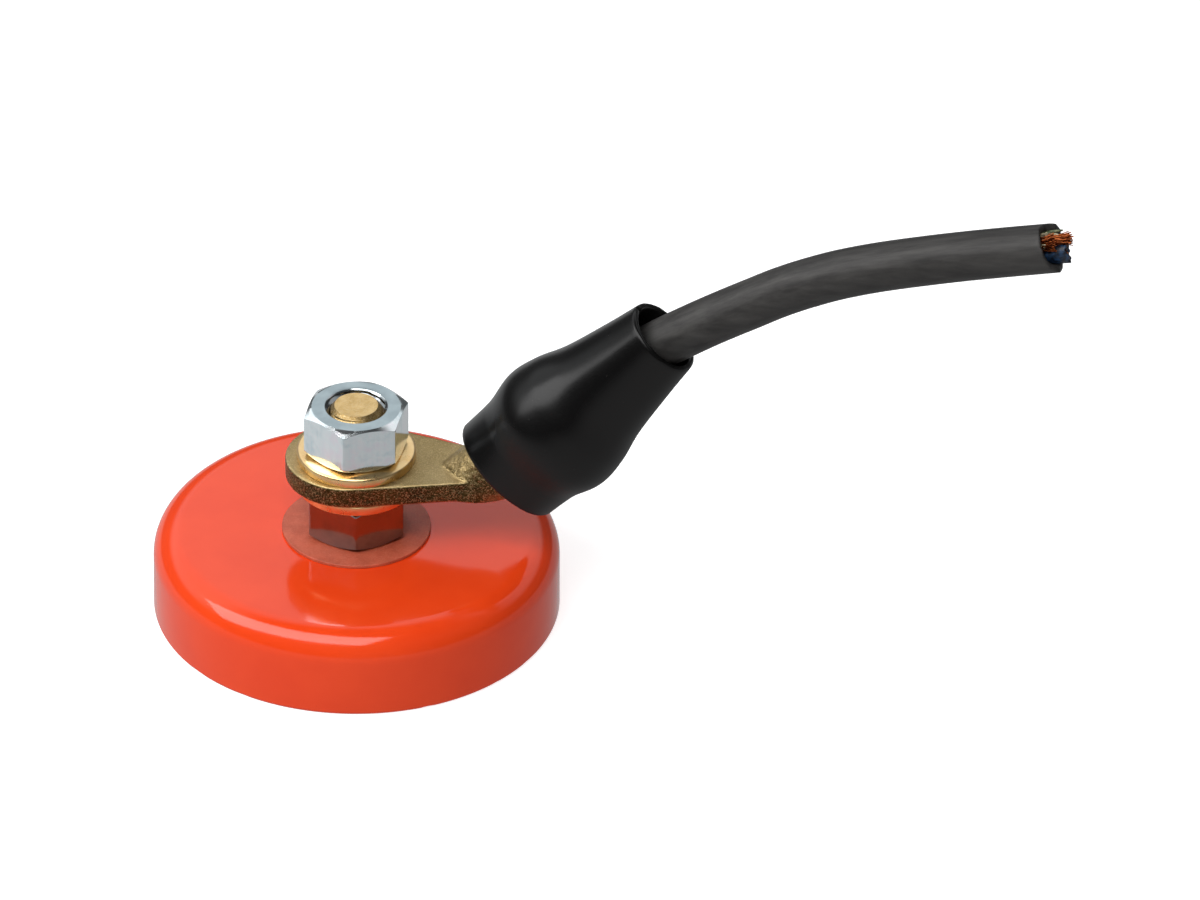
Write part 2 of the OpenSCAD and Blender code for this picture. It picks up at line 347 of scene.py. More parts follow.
class Nodes:
    """Short ways to add the nodes used here to a tree."""

    def __init__(self, tree):
        self.tree = tree

    def node(self, kind, **inputs):
        """A new node with its inputs set or linked; _ stands for a space in an input's name."""
        made = self.tree.nodes.new(kind)
        for key, value in inputs.items():
            self.feed(made.inputs[key.replace("_", " ")], value)
        return made

    def feed(self, socket, value):
        """Links another socket's value to this one, or sets it to a constant."""
        if isinstance(value, bpy.types.NodeSocket):
            self.tree.links.new(value, socket)
        else:
            socket.default_value = value

    def ramp(self, value, *stops):
        """Colours between stops of (place, colour)."""
        made = self.node("ShaderNodeValToRGB", Fac=value)
        ramp = made.color_ramp
        while len(ramp.elements) < len(stops):
            ramp.elements.new(1.0)
        for element, (at, colour) in zip(ramp.elements, stops):
            element.position = at
            element.color = (*colour, 1)
        return made.outputs["Color"]

    def range(self, value, low, high, start=0.0, end=1.0, shape="LINEAR"):
        """The value carried from start..end to low..high, and held there."""
        made = self.node("ShaderNodeMapRange", Value=value)
        made.interpolation_type = shape
        for key, number in (("From Min", start), ("From Max", end), ("To Min", low), ("To Max", high)):
            made.inputs[key].default_value = number
        return made.outputs["Result"]

    def mix(self, factor, a, b, blend="MIX"):
        """Colour a where the factor is 0, and b, or b blended with a, where it is 1."""
        made = self.tree.nodes.new("ShaderNodeMix")
        made.data_type = "RGBA"
        made.blend_type = blend
        self.feed(made.inputs[0], factor)
        for socket, value in ((made.inputs[6], a), (made.inputs[7], b)):
            self.feed(socket, (*value, 1) if isinstance(value, tuple) else value)
        return made.outputs[2]

    def patchy(self, pattern, dark, light, start=0.3, end=0.7):
        """Two colours in patches: dark up to the pattern's start and light from its end."""
        return self.mix(self.range(pattern, 0, 1, start, end), dark, light)

    def maths(self, operation, a, b=0.0):
        """Result of one Math node."""
        made = self.tree.nodes.new("ShaderNodeMath")
        made.operation = operation
        self.feed(made.inputs[0], a)
        self.feed(made.inputs[1], b)
        return made.outputs[0]


class Finish(Nodes):
    """A material. Its patterns follow the piece's own coordinates."""

    def __init__(self, name, **settings):
        self.material = bpy.data.materials.new(name)
        self.material.use_nodes = True
        super().__init__(self.material.node_tree)
        self.shader = self.tree.nodes["Principled BSDF"]
        self.where = self.tree.nodes.new("ShaderNodeTexCoord").outputs["Object"]
        for key, value in settings.items():
            self.set(key.replace("_", " ").title().replace("Ior", "IOR"), value)

    def set(self, socket, value):
        """Sets or links a socket of the material's own shader."""
        self.feed(self.shader.inputs[socket], value)

    def stretched(self, x, y, z):
        """Coordinates multiplied along each axis."""
        return self.node("ShaderNodeMapping", Vector=self.where, Scale=(x, y, z)).outputs["Vector"]

    def noise(self, scale, detail=3.0, roughness=0.55, vector=None):
        """Noise from 0 to 1; scale is in cells per metre."""
        made = self.node("ShaderNodeTexNoise", Scale=scale, Detail=detail, Roughness=roughness)
        self.feed(made.inputs["Vector"], vector or self.where)
        return made.outputs["Fac"]

    def cells(self, scale):
        """Distance from the nearest of many scattered points; scale is in points per metre."""
        return self.node("ShaderNodeTexVoronoi", Scale=scale, Vector=self.where).outputs["Distance"]

    def upward(self):
        """Height of the surface's normal: 1 on a face that looks straight up, -1 on one that looks down."""
        normal = self.tree.nodes.new("ShaderNodeNewGeometry").outputs["Normal"]
        return self.node("ShaderNodeSeparateXYZ", Vector=normal).outputs["Z"]

    def facing_up(self):
        """How level the surface is: 1 on a face that looks straight up or down, 0 on an upright one."""
        return self.maths("ABSOLUTE", self.upward())

    def from_axis(self):
        """Distance from the Z axis, in metres."""
        split = self.node("ShaderNodeSeparateXYZ", Vector=self.where)
        x, y = (self.maths("MULTIPLY", split.outputs[axis], split.outputs[axis]) for axis in ("X", "Y"))
        return self.maths("SQRT", self.maths("ADD", x, y))

    def done(self, colour, roughness, *bumps):
        """The material with its colour, its roughness and bumps of (height, distance in metres, strength)."""
        self.set("Base Color", colour)
        self.set("Roughness", roughness)
        normal = None
        for height, distance, strength in bumps:
            made = self.node("ShaderNodeBump", Height=height, Distance=distance, Strength=strength)
            if normal:
                self.feed(made.inputs["Normal"], normal)
            normal = made.outputs["Normal"]
        self.set("Normal", normal)
        return self.material


def orange_paint():
    """Glossy orange paint with a faint orange peel and a few dark specks."""
    finish = Finish("orange_paint", specular_ior_level=0.38)
    patches = finish.noise(60, 3)
    colour = finish.patchy(patches, (0.725, 0.047, 0.0065), (0.765, 0.054, 0.008), 0.35, 0.65)
    specks = finish.range(finish.cells(420), 1, 0, 0.02, 0.035)
    colour = finish.mix(finish.maths("MULTIPLY", specks, 0.5), colour, (0.35, 0.03, 0.01))
    peel, grit = finish.noise(240, 2), finish.noise(1500, 3)
    roughness = finish.range(finish.noise(90, 4), 0.08, 0.14)
    return finish.done(colour, roughness, (peel, 0.00005, 0.22), (grit, 0.00001, 0.3))


def red_fibre():
    """Vulcanised fibre: brick red, matt, with fine pale fibres."""
    finish = Finish("red_fibre", specular_ior_level=0.45)
    fine = finish.noise(2600, 4, 0.7)
    clouds = finish.noise(300, 3)
    base = finish.patchy(clouds, (0.36, 0.062, 0.028), (0.47, 0.088, 0.042), 0.35, 0.65)
    colour = finish.mix(finish.range(fine, 0, 0.5, 0.45, 0.75), base, (0.56, 0.17, 0.10))
    return finish.done(colour, finish.range(fine, 0.40, 0.60), (fine, 0.00005, 0.5))


def zinc_plate(name, tone):
    """Bright zinc: the flats are smooth and bluish with a faint draw along the axis.

    The turned faces are duller, and their colour is darkened as painted shade. The inside of the bore is
    painted dark as shade. A tone under 1 darkens the whole piece as painted shade.
    """
    finish = Finish(name, metallic=1.0)

    def toned(colour):
        return tuple(part * tone for part in colour)

    draw = finish.noise(1.0, 3, 0.6, finish.stretched(700, 700, 60))
    clouds = finish.noise(260, 3)
    flats = finish.ramp(
        clouds,
        (0.32, toned((0.66, 0.76, 0.80))),
        (0.5, toned((0.80, 0.86, 0.88))),
        (0.68, toned((0.83, 0.81, 0.86))),
    )
    flats = finish.mix(finish.range(draw, 0, 0.4, 0.45, 0.75), flats, toned((0.93, 0.95, 0.95)))
    # The level faces get a darker colour than the flats as painted shade; their higher roughness below is the
    # duller turned finish.
    faces = finish.patchy(clouds, toned((0.34, 0.41, 0.44)), toned((0.42, 0.50, 0.53)), 0.35, 0.65)
    flat_face = finish.range(finish.facing_up(), 0, 1, 0.93, 0.985)
    # Inside the bore, nearer the axis than the countersink's rim, the colour is painted nearly black as shade.
    outside = finish.range(finish.from_axis(), 0.25, 1, 0.0061, 0.0065)
    bore = toned((0.05, 0.055, 0.06))
    colour = finish.mix(outside, bore, finish.mix(flat_face, flats, faces))
    dulled = finish.range(flat_face, 0, 0.16)
    pits = finish.noise(3600, 2)
    roughness = finish.maths("ADD", finish.range(draw, 0.10, 0.16), dulled)
    return finish.done(colour, roughness, (draw, 0.000012, 0.3), (pits, 0.000008, 0.3))


def turned_brass():
    """Brass bar: a bright, grainy sawn end, with the turned sides and the chamfer darkened as painted shade."""
    finish = Finish("turned_brass", metallic=1.0)
    grains = finish.noise(3200, 4, 0.7)
    patches = finish.noise(500, 3)
    end = finish.patchy(patches, (0.68, 0.44, 0.16), (0.86, 0.62, 0.29))
    # Surfaces that are not level get a dark colour as painted shade, which dims the chamfer's reflection.
    base = finish.mix(finish.range(finish.facing_up(), 0, 1, 0.80, 0.97), (0.33, 0.21, 0.07), end)
    colour = finish.mix(finish.range(grains, 0, 0.5, 0.45, 0.7), base, (0.93, 0.78, 0.50))
    roughness = finish.range(patches, 0.34, 0.46)
    return finish.done(colour, roughness, (grains, 0.00009, 0.7), (patches, 0.0001, 0.3))


def washer_brass():
    """Stamped brass: smooth and yellow, a little cloudy."""
    finish = Finish("washer_brass", metallic=1.0)
    patches = finish.noise(220, 4)
    colour = finish.patchy(patches, (0.70, 0.45, 0.19), (0.88, 0.65, 0.34))
    return finish.done(colour, finish.range(patches, 0.22, 0.34), (finish.noise(1200, 4), 0.00003, 0.35))


def cast_brass():
    """Sand-cast brass: grainy, brighter where it was ground on top, dark with tarnish on its sides."""
    finish = Finish("cast_brass", metallic=1.0)
    sand = finish.noise(3000, 5, 0.75)
    patches = finish.noise(120, 4)
    ground = finish.patchy(patches, (0.34, 0.245, 0.10), (0.50, 0.375, 0.185))
    tarnish = finish.patchy(patches, (0.025, 0.026, 0.007), (0.080, 0.068, 0.017))
    base = finish.mix(finish.range(finish.facing_up(), 0, 1, 0.15, 0.75), tarnish, ground)
    colour = finish.mix(finish.range(sand, 0, 0.9, 0.50, 0.72), base, (0.85, 0.66, 0.36))
    return finish.done(colour, finish.range(sand, 0.48, 0.30, 0.3, 0.7), (sand, 0.00016, 0.8))


def boot_rubber():
    """Moulded rubber: black and satin, duller where it looks down and painted a little lighter there as light
    from below, with a few specks.
    """
    finish = Finish("boot_rubber", specular_ior_level=0.2)
    patches = finish.noise(70, 4)
    dust = finish.range(finish.cells(560), 1, 0, 0.010, 0.026)
    # Where the surface looks down, the colour is painted lighter as light from below, and the roughness rises.
    lit_and_dull_underside = finish.range(finish.upward(), 1, 0, -0.1, 0.4)
    base = finish.mix(patches, (0.0012, 0.0012, 0.0013), (0.004, 0.0037, 0.0036))
    base = finish.mix(lit_and_dull_underside, base, (0.0085, 0.0078, 0.0076))
    colour = finish.mix(finish.maths("MULTIPLY", dust, 0.4), base, (0.35, 0.33, 0.30))
    dulled = finish.range(lit_and_dull_underside, 0, 0.25)
    roughness = finish.maths("ADD", finish.range(patches, 0.20, 0.31), dulled)
    return finish.done(colour, roughness, (finish.noise(900, 4), 0.00002, 0.3))


def cable_rubber():
    """Rubber sheath: charcoal, matt and dusty in streaks along it."""
    finish = Finish("cable_rubber", specular_ior_level=0.28)
    streaks = finish.noise(1.0, 4, 0.6, finish.stretched(60, 900, 300))
    colour = finish.patchy(streaks, (0.014, 0.013, 0.0125), (0.040, 0.038, 0.036), 0.35, 0.72)
    pores = finish.noise(1500, 4, 0.7)
    roughness = finish.range(streaks, 0.45, 0.62)
    return finish.done(colour, roughness, (streaks, 0.00006, 0.4), (pores, 0.00007, 0.6))


def insulation(name, dark, light):
    """A core's plastic, scuffed and smeared where it was cut."""
    finish = Finish(name)
    patches = finish.noise(900, 4)
    colour = finish.patchy(patches, dark, light, 0.42, 0.72)
    return finish.done(colour, finish.range(patches, 0.35, 0.55), (patches, 0.0001, 0.5))


def copper():
    """Copper wire: bright in places, brown with age in others."""
    finish = Finish("copper", metallic=1.0)
    patches = finish.noise(1800, 3)
    colour = finish.patchy(patches, (0.09, 0.017, 0.005), (0.52, 0.14, 0.042))
    return finish.done(colour, finish.range(patches, 0.22, 0.40), (patches, 0.00003, 0.3))


def dull(name, dark, light, scale, roughness, depth):
    """A matt material with two mixed tones and a grain."""
    finish = Finish(name)
    grain = finish.noise(scale, 5, 0.65)
    colour = finish.patchy(grain, dark, light, 0.35, 0.65)
    return finish.done(colour, finish.range(grain, roughness - 0.08, roughness + 0.08), (grain, depth, 0.5))


def plain_steel():
    """Grey steel of the hidden grub screws."""
    finish = Finish("screw_steel", metallic=1.0)
    grain = finish.noise(1400, 4)
    colour = finish.mix(grain, (0.20, 0.20, 0.21), (0.34, 0.34, 0.35))
    return finish.done(colour, finish.range(grain, 0.35, 0.55), (grain, 0.00004, 0.4))


ORANGE = orange_paint()
FIBRE = red_fibre()
ZINC = zinc_plate("zinc_plate", 1.0)
# The lower nut's zinc, darkened all over as painted shade for the shadow that the lug casts round it.
SHADE_DARKENED_ZINC = zinc_plate("shade_darkened_zinc", 0.36)
BRASS = turned_brass()
WASHER = washer_brass()
CAST = cast_brass()
BOOT = boot_rubber()
CABLE = cable_rubber()
COPPER = copper()
STEEL = plain_steel()
FERRITE = dull("ferrite", (0.022, 0.022, 0.024), (0.045, 0.045, 0.048), 1600, 0.62, 0.00006)
RESIN = dull("potting_resin", (0.07, 0.045, 0.022), (0.11, 0.075, 0.04), 300, 0.30, 0.00005)
NYLON = dull("sleeve_plastic", (0.62, 0.58, 0.46), (0.72, 0.69, 0.58), 500, 0.45, 0.00003)
COTTON = dull("filler_cotton", (0.42, 0.36, 0.22), (0.68, 0.60, 0.42), 2600, 0.85, 0.00008)
BLUE = insulation("blue_insulation", (0.002, 0.004, 0.010), (0.020, 0.062, 0.145))
BROWN = insulation("brown_insulation", (0.06, 0.022, 0.012), (0.16, 0.055, 0.025))
EARTH = insulation("earth_insulation", (0.05, 0.07, 0.03), (0.25, 0.26, 0.14))

# ---- pot magnet ----


def drawn_wobble(r, z, a):
    """The cup's wall and top are very slightly uneven, as drawn steel is, and its rim has small chips."""
    at_rim = z < 0.5 and r > MAGNET_R
    chip = max(0.0, ruffle(a, 9, 2.7) - 0.25) if at_rim else 0
    return r + 0.03 * math.sin(3 * a + 0.7) + 0.02 * math.sin(5 * a + z * 0.2) - 0.6 * chip


def pot_shell():
    """The painted steel cup, open below, with a hole in its top for the stud."""
    inner_r, inner_h = POT_R - WALL_T, POT_H - TOP_T
    outer_r = POT_R - 0.05
    outline = fillet(
        [
            (TOP_HOLE_R, inner_h, 0.2), (inner_r, inner_h, 2.0), (inner_r, 0, 0.5), (outer_r, 0, 0.8),
            (outer_r, POT_H - 0.05, SHOULDER_R), (FIBRE_R, POT_H), (TOP_HOLE_R, POT_H, 0.3),
        ],
        steps=14,
    )
    add_piece(
        "pot_shell_painted", lathe(outline, 256, drawn_wobble),
        ORANGE, "root", "orange_paint", "pot_shell",
    )


def chipped(depth, scale):
    """Radius function with small chips along sharp edges, from noise."""
    return lambda r, z, a: r - depth * max(0.0, ruffle(a, scale, z * 0.6 + r * 0.1) - 0.15)


def magnet_and_resin():
    """The magnet ring, slightly chipped, and the two rings of resin with hollow surfaces beside it."""
    top = POT_H - TOP_T
    ring = fillet(
        [(MAGNET_BORE_R, MAGNET_Z, 0.5), (MAGNET_R, MAGNET_Z, 0.6), (MAGNET_R, top), (MAGNET_BORE_R, top)]
    )
    add_piece(
        "ferrite_ring", lathe(ring, 200, chipped(0.4, 9)),
        FERRITE, "root", "ferrite", "ring_magnet",
    )
    inner_r = POT_R - WALL_T
    resin_top = span("resin_outer_ring")[1].z
    outer = [
        (MAGNET_R, RESIN_Z), (MAGNET_R + 0.7, RESIN_Z + 0.35), ((MAGNET_R + inner_r) / 2, RESIN_Z + 0.5),
        (inner_r - 0.7, RESIN_Z + 0.35), (inner_r, RESIN_Z), (inner_r, resin_top), (MAGNET_R, resin_top),
    ]
    add_piece("outer_resin", lathe(outer, 200), RESIN, "root", "potting_resin", "resin_outer_ring")
    inner = [
        (HEAD_R, RESIN_Z), (HEAD_R + 0.9, RESIN_Z + 0.4), (MAGNET_BORE_R - 0.9, RESIN_Z + 0.4),
        (MAGNET_BORE_R, RESIN_Z), (MAGNET_BORE_R, HEAD_H), (HEAD_R, HEAD_H),
    ]
    add_piece("inner_resin", lathe(inner, 160), RESIN, "root", "potting_resin", "resin_inner_ring")


def ring_outline(inner_r, outer_r, low, high, edge):
    """Half outline of a flat ring with rounded edges."""
    middle = (inner_r + outer_r) / 2
    return fillet(
        [
            (inner_r, low, edge), (middle, low), (outer_r, low, edge),
            (outer_r, high, edge), (middle, high), (inner_r, high, edge),
        ],
        steps=4,
    )


def fibre_washers():
    """The two insulating washers, their stamped edges slightly ragged."""

    def ragged(r, z, a):
        return r + 0.05 * ruffle(a, 14, 3)

    for node, name in (
        ("outer_fibre_washer", "fibre_washer_outer"),
        ("inner_fibre_washer", "fibre_washer_inner"),
    ):
        low, high = span(node)
        outline = ring_outline(STUD_R + 0.15, high.x, low.z, high.z, 0.12)
        add_piece(name, lathe(outline, 200, ragged), FIBRE, "root", "red_fibre", node)


# ---- stud, nuts, washers ----


def thread_wave(z, a, shift, root, flank):
    """0 at the root and 1 at the crest of the right-hand thread that every threaded piece shares.

    A shift of 0.5 puts the crest between two of the stud's. root and flank are their shares of half a pitch.
    """
    phase = (z / PITCH - a / TAU + shift) % 1.0
    return min(1.0, max(0.0, (1 - abs(2 * phase - 1) - root) / flank))


def rod_radius(z, a, low, runout):
    """The stud's radius where it is threaded, from low upwards, with the thread fading in over the run-out."""
    fade = min(1.0, max(0.0, (z - low) / runout))
    return STUD_R - 0.03 - THREAD_DEPTH * fade * (1 - thread_wave(z, a, 0.0, 0.12, 0.72))


def contact_stud():
    """Turned head below, threaded rod above, and a flat end inside a chamfer."""
    end_r = STUD_R - STUD_END_CHAMFER
    sides = 144
    thread_low = POT_H + 1
    foot = fillet(
        [
            (2.5, 0), (HEAD_R - 0.1, 0, 0.5), (HEAD_R - 0.1, HEAD_H, 0.4),
            (STUD_R - 0.03, HEAD_H, 0.2), (STUD_R - 0.03, POT_H),
        ],
        closed=False,
    )
    rings = lathe_rings(foot, sides)
    rows = int((STUD_TOP - thread_low) / PITCH * 14)
    for i in range(rows + 1):
        z = thread_low + (STUD_TOP - thread_low) * i / rows
        cone = end_r + (STUD_TOP - z) * STUD_END_SLOPE
        radii = [min(rod_radius(z, a, thread_low, 2.0), cone) for a in circle(sides)]
        rings.append([(r * math.cos(a), r * math.sin(a), z) for r, a in zip(radii, circle(sides))])
    for r, lift in ((end_r - 0.12, 0.0), (end_r - 0.5, -0.03), (2.6, 0.0), (1.0, 0.0)):
        rings.append(
            [
                (r * math.cos(a), r * math.sin(a), STUD_TOP + lift + 0.03 * ruffle(a, r * 0.5, 1))
                for a in circle(sides)
            ]
        )
    add_piece("brass_stud", skin(rings), BRASS, "root", "turned_brass", "contact_stud", sharp=40)


def hex_radius(a):
    """Distance from the axis to the side of a hexagon with rounded corners, in direction a."""
    turn = abs((a + math.pi / 6) % (math.pi / 3) - math.pi / 6)
    flat = NUT_AF / 2
    centre = (flat - NUT_CORNER_ROUND) / math.cos(math.pi / 6)
    side = flat / math.cos(math.pi / 6 - turn)
    under = NUT_CORNER_ROUND ** 2 - (centre * math.sin(turn)) ** 2
    if under <= 0:
        return side
    return min(side, centre * math.cos(turn) + math.sqrt(under))


def nut_rings(low, high, turn, count=288):
    """Rings of a hex nut: lower face, chamfer, flats, upper chamfer, upper face and the threaded bore."""
    soft = 0.12

    def side(a):
        """The side's distance from the axis, and the height that the chamfer takes off there."""
        wide = hex_radius(a)
        return wide, max(0.0, wide - NUT_FACE_R) * NUT_CHAMFER

    def chamfer(a, share):
        """Distance out and height taken off, a share of the way from the face's edge to the side."""
        wide, drop = side(a)
        return NUT_FACE_R + (wide - NUT_FACE_R) * share, drop * share

    def flat(a, share):
        """Point on the side, a share of the way from the lower chamfer to the upper one."""
        wide, drop = side(a)
        return wide, low + drop + soft + (high - low - 2 * drop - 2 * soft) * share

    def ring(shape):
        """A ring from a function that gives distance and height for an angle counted from a flat."""
        out = []
        for k in range(count):
            local = TAU * k / count
            r, z = shape(local)
            a = local + turn
            out.append((r * math.cos(a), r * math.sin(a), z))
        return out

    root = STUD_R + THREAD_GAP
    rings = []
    face_steps = [(NUT_MOUTH_R, 0.0), (NUT_MOUTH_R + 0.1, -0.02), (7.4, -0.02), (NUT_FACE_R - soft, -0.02)]
    for r, rise in face_steps:
        rings.append(ring(lambda a, r=r, rise=rise: (r, low - rise)))
    for share in (0.04, 0.5, 0.96):
        rings.append(ring(lambda a, s=share: (chamfer(a, s)[0], low + chamfer(a, s)[1])))
    for share in (0.0, 0.03, 0.25, 0.5, 0.75, 0.97, 1.0):
        rings.append(ring(lambda a, s=share: flat(a, s)))
    for share in (0.96, 0.5, 0.04):
        rings.append(ring(lambda a, s=share: (chamfer(a, s)[0], high - chamfer(a, s)[1])))
    for r, rise in reversed(face_steps):
        rings.append(ring(lambda a, r=r, rise=rise: (r, high + rise)))
    rows = int((high - low) / PITCH * 12)
    for i in range(rows + 1):
        z = high - 0.02 - (high - low - 0.04) * i / rows
        near_end = min(high - z, z - low)

        def bore(local, z=z, near_end=near_end):
            thread = root - THREAD_DEPTH * 0.9 * thread_wave(z, local + turn, 0.5, 0.3, 0.6)
            return max(thread, NUT_MOUTH_R - near_end * NUT_MOUTH_SLOPE), z

        rings.append(ring(bore))
    return rings


def nuts():
    """The two hex nuts; the lower one is darkened as painted shade, for the lug's shadow over it."""
    for node, name, body, turn, material in (
        ("lower_nut", "lower_zinc_nut", "root", LOWER_NUT_TURN, SHADE_DARKENED_ZINC),
        ("upper_nut", "upper_zinc_nut", "nut", UPPER_NUT_TURN, ZINC),
    ):
        low, high = span(node)
        add_piece(
            name, skin(nut_rings(low.z, high.z, turn), loop=True),
            material, body, "zinc_plate", node, sharp=28,
        )


def washers():
    """Stamped washers: the lower one's rim is flat, the upper one's is rounded over at the top."""
    for node, name, body, edge in (
        ("lower_washer", "lower_brass_washer", "root", 0.2),
        ("upper_washer", "upper_brass_washer", "washer", 0.55),
    ):
        low, high = span(node)
        outline = fillet(
            [
                (WASHER_HOLE_R, low.z, 0.15), (WASHER_R, low.z, 0.2),
                (WASHER_R, high.z, edge), (WASHER_HOLE_R, high.z, 0.3),
            ],
            steps=6,
        )
        add_piece(name, lathe(outline, 192), WASHER, body, "washer_brass", node, sharp=50)


# ---- cable lug ----


def plate_outline(count=48):
    """Corners of the lug's flat plate: the eye's arc and the tangents to the neck."""
    arc_end = math.pi / 2 - LUG_TAPER
    arc = [
        (EYE_R * math.cos(arc_end + (TAU - 2 * arc_end) * k / count) + EYE_X,
         EYE_R * math.sin(arc_end + (TAU - 2 * arc_end) * k / count))
        for k in range(count + 1)
    ]
    tangent_x, tangent_y = arc[0]
    end_y = tangent_y - (PLATE_END_X - tangent_x) * math.tan(LUG_TAPER)
    return arc + [(PLATE_END_X, -end_y), (PLATE_END_X, end_y)]


def plate_mesh():
    """The flat plate with its edges rounded, before the eye is drilled."""
    outline = [Vector(p) for p in plate_outline()]
    top = LUG_LOW + LUG_T
    edge = [
        (0.6, LUG_LOW), (0.18, LUG_LOW + 0.14), (0, LUG_LOW + 0.5),
        (0, top - 0.3), (0.08, top - 0.09), (0.3, top),
    ]
    return skin(
        [[(p.x * (1 - inset / EYE_R), p.y * (1 - inset / EYE_R), z) for p in outline] for inset, z in edge]
    )


def barrel_matrix():
    """From a frame whose Z is the barrel's axis to the row frame."""
    return along_frame((BARREL_X, 0, LUG_LOW), BARREL_ALONG)


def barrel_mesh():
    """The barrel, bored from its far end."""
    bore_start = BARREL_LEN - BORE_DEPTH
    outline = [
        (0.4, -BARREL_R), (BARREL_R, -BARREL_R), (BARREL_R, BARREL_LEN - 0.8), (BARREL_R - 0.8, BARREL_LEN),
        (BORE_R + 0.4, BARREL_LEN), (BORE_R, BARREL_LEN - 0.5), (BORE_R, bore_start), (0.4, bore_start - 1),
    ]
    points, faces = skin(lathe_rings(outline, 96))
    return place(points, barrel_matrix()), faces


def neck_points():
    """Points whose hull is the neck: a blunt nose lying on the plate and a ring of the barrel."""
    top = LUG_LOW + LUG_T
    nose = [
        (x, y, z) for x, z in ((NOSE_X, top - 0.15), (NOSE_X + 0.25, top + 0.06), (NOSE_X, LUG_LOW))
        for y in (-NOSE_HALF - 0.4, NOSE_HALF - 0.4)
    ]
    ring = [(BARREL_R * math.cos(a), BARREL_R * math.sin(a), d) for a in circle(48) for d in (3.2, 4.2)]
    return nose + place(ring, barrel_matrix())


def union_of(name, parts, hull_points, floor_z, voxel):
    """One closed mesh from overlapping parts and a convex hull, cut off flat below floor_z and remeshed."""
    work = bmesh.new()
    for points, faces in parts:
        made = [work.verts.new(Vector(p) * MM) for p in points]
        for face in faces:
            work.faces.new([made[k] for k in face])
    made = [work.verts.new(Vector(p) * MM) for p in hull_points]
    hull = bmesh.ops.convex_hull(work, input=made)
    bmesh.ops.delete(work, geom=list(set(hull["geom_interior"] + hull["geom_unused"])), context="VERTS")
    everything = work.verts[:] + work.edges[:] + work.faces[:]
    bmesh.ops.bisect_plane(
        work, geom=everything, plane_co=(0, 0, floor_z * MM), plane_no=(0, 0, 1), clear_inner=True
    )
    bmesh.ops.holes_fill(work, edges=[e for e in work.edges if e.is_boundary], sides=0)
    bmesh.ops.recalc_face_normals(work, faces=work.faces)
    mesh = bpy.data.meshes.new(name)
    work.to_mesh(mesh)
    work.free()
    piece = bpy.data.objects.new(name, mesh)
    bpy.context.scene.collection.objects.link(piece)
    remesh = piece.modifiers.new("remesh", "REMESH")
    remesh.mode = "VOXEL"
    remesh.voxel_size = voxel * MM
    remesh.use_smooth_shade = True
    soften = piece.modifiers.new("soften", "SMOOTH")
    soften.factor = 0.5
    soften.iterations = 2
    return piece


def apply_modifiers(piece):
    """Replaces the piece's mesh by what its modifiers make of it."""
    bpy.context.view_layer.update()
    made = bpy.data.meshes.new_from_object(piece.evaluated_get(bpy.context.evaluated_depsgraph_get()))
    piece.modifiers.clear()
    piece.data = made


def roughen(piece, layers, keep):
    """Moves each point along its normal by noise: layers of (size in mm, height in mm), times keep(point)."""
    mesh = piece.data
    normals = [Vector(n.vector) for n in mesh.vertex_normals]
    for vertex, normal in zip(mesh.vertices, normals):
        p = vertex.co / MM
        lift = sum(height * noise.noise(p / size) for size, height in layers)
        vertex.co += normal * lift * MM * keep(p)
    mesh.update()


def drill(piece, *holes):
    """Cuts round holes; each is (matrix, radius, from, to) with the distances along the matrix's Z."""
    for matrix, radius, start, end in holes:
        rings = [[(radius * math.cos(a), radius * math.sin(a), z) for a in circle(64)] for z in (start, end)]
        points, faces = skin(rings)
        tool = mesh_object("drill", place(points, matrix), faces)
        cut = piece.modifiers.new("cut", "BOOLEAN")
        cut.operation = "DIFFERENCE"
        cut.object = tool
        cut.solver = "EXACT"
        apply_modifiers(piece)
        bpy.data.objects.remove(tool)


def cable_lug():
    """The cast lug: plate, neck and barrel in one rough skin, with the eye and two screw holes drilled."""
    voxel = 0.22
    piece = union_of("brass_lug", [plate_mesh(), barrel_mesh()], neck_points(), LUG_LOW, voxel)
    apply_modifiers(piece)
    top = LUG_LOW + LUG_T

    def coarse(p):
        """The cast neck is rougher than the plate, and the underside is flat."""
        if p.z < LUG_LOW + 0.12:
            return 0.0
        return 1.0 if p.x > NOSE_X and p.z > top + 0.1 else 0.45

    roughen(piece, [(0.8, 0.10), (2.4, 0.12), (5.0, 0.12)], coarse)
    screw_turn = Matrix.Rotation(-math.pi / 2, 4, "Y")
    screw_holes = [
        (barrel_matrix() @ Matrix.Translation((0, 0, along)) @ screw_turn, SCREW_HOLE_R, 1.0, 9.0)
        for along in SCREW_PLACES
    ]
    eye = (Matrix.Identity(4), LUG_HOLE_R, LUG_LOW - 1, top + 1)
    drill(piece, eye, *screw_holes)
    piece.data.shade_smooth()
    piece.data.set_sharp_from_angle(angle=math.radians(50))
    stands_for(piece, CAST, "lug", "cast_brass", "cable_lug")


# ---- rubber boot ----


